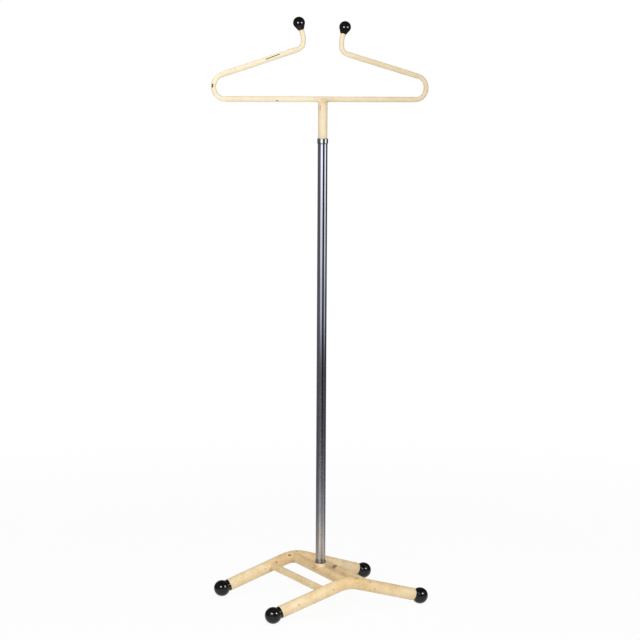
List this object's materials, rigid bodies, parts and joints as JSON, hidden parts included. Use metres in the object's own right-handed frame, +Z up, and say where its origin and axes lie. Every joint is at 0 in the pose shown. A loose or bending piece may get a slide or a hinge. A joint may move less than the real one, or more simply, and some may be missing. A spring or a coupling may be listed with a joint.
{
  "type": "coat rack",
  "caption": "Free-standing coat stand: a bent-tube hanger with ball-tipped uprights turns and lifts off on a slim chromed column above a low welded tube base on ball feet.",
  "frame": {"origin": "on the floor, under the column's axis, at the middle of the footprint", "axes": "+Z up along the column, +X to the right along the legs and the hanger, +Y to the rear"},
  "size_m": [0.4978, 0.2726, 1.2],
  "materials": {
    "hanger_enamel": "glossy cream stove enamel, with small chips and scratches",
    "base_enamel": "aged cream enamel, yellowed, with brown grime and rust spots",
    "black_ball": "glossy black moulded ball",
    "column_chrome": "chrome plate, bright above, cloudy and tarnished towards the foot",
    "collar_chrome": "bright chrome plate",
    "plain_steel": "plain machined steel",
    "bush_brass": "machined brass",
    "washer_fibre": "pale pressed fibre"
  },
  "bodies": {
    "stand": {"front_leg_tube": "base_enamel", "rear_leg_tube": "base_enamel", "main_cross_tube": "base_enamel", "left_cross_bar": "base_enamel", "right_cross_bar": "base_enamel", "main_cross_weld_beads": "base_enamel", "left_bar_weld_beads": "base_enamel", "right_bar_weld_beads": "base_enamel", "column_seat": "base_enamel", "seat_weld_bead": "base_enamel", "foot_ball_front_left": "black_ball", "foot_ball_front_right": "black_ball", "foot_ball_rear_left": "black_ball", "foot_ball_rear_right": "black_ball", "leg_end_plugs": "plain_steel", "foot_studs": "plain_steel", "column_plug": "plain_steel", "column_stud": "plain_steel", "column_tube": "column_chrome", "column_collar": "collar_chrome", "column_bush": "bush_brass"},
    "swivel_washer": {"thrust_washer": "washer_fibre"},
    "hanger": {"hanger_rod": "hanger_enamel", "hanger_stem": "hanger_enamel", "stem_top_plug": "hanger_enamel", "stem_weld_bead": "hanger_enamel", "hanger_spigot": "plain_steel", "tip_pins": "plain_steel", "tip_ball_left": "black_ball", "tip_ball_right": "black_ball"}
  },
  "joints": [
    {"name": "hanger_swivel", "type": "hinge", "parent": "stand", "child": "swivel_washer", "pos_m": [0, 0, 0.957], "axis": [0, 0, 1], "continuous": true},
    {"name": "hanger_lift", "type": "slide", "parent": "swivel_washer", "child": "hanger", "axis": [0, 0, 1], "range_m": [0, 0.08]}
  ]
}
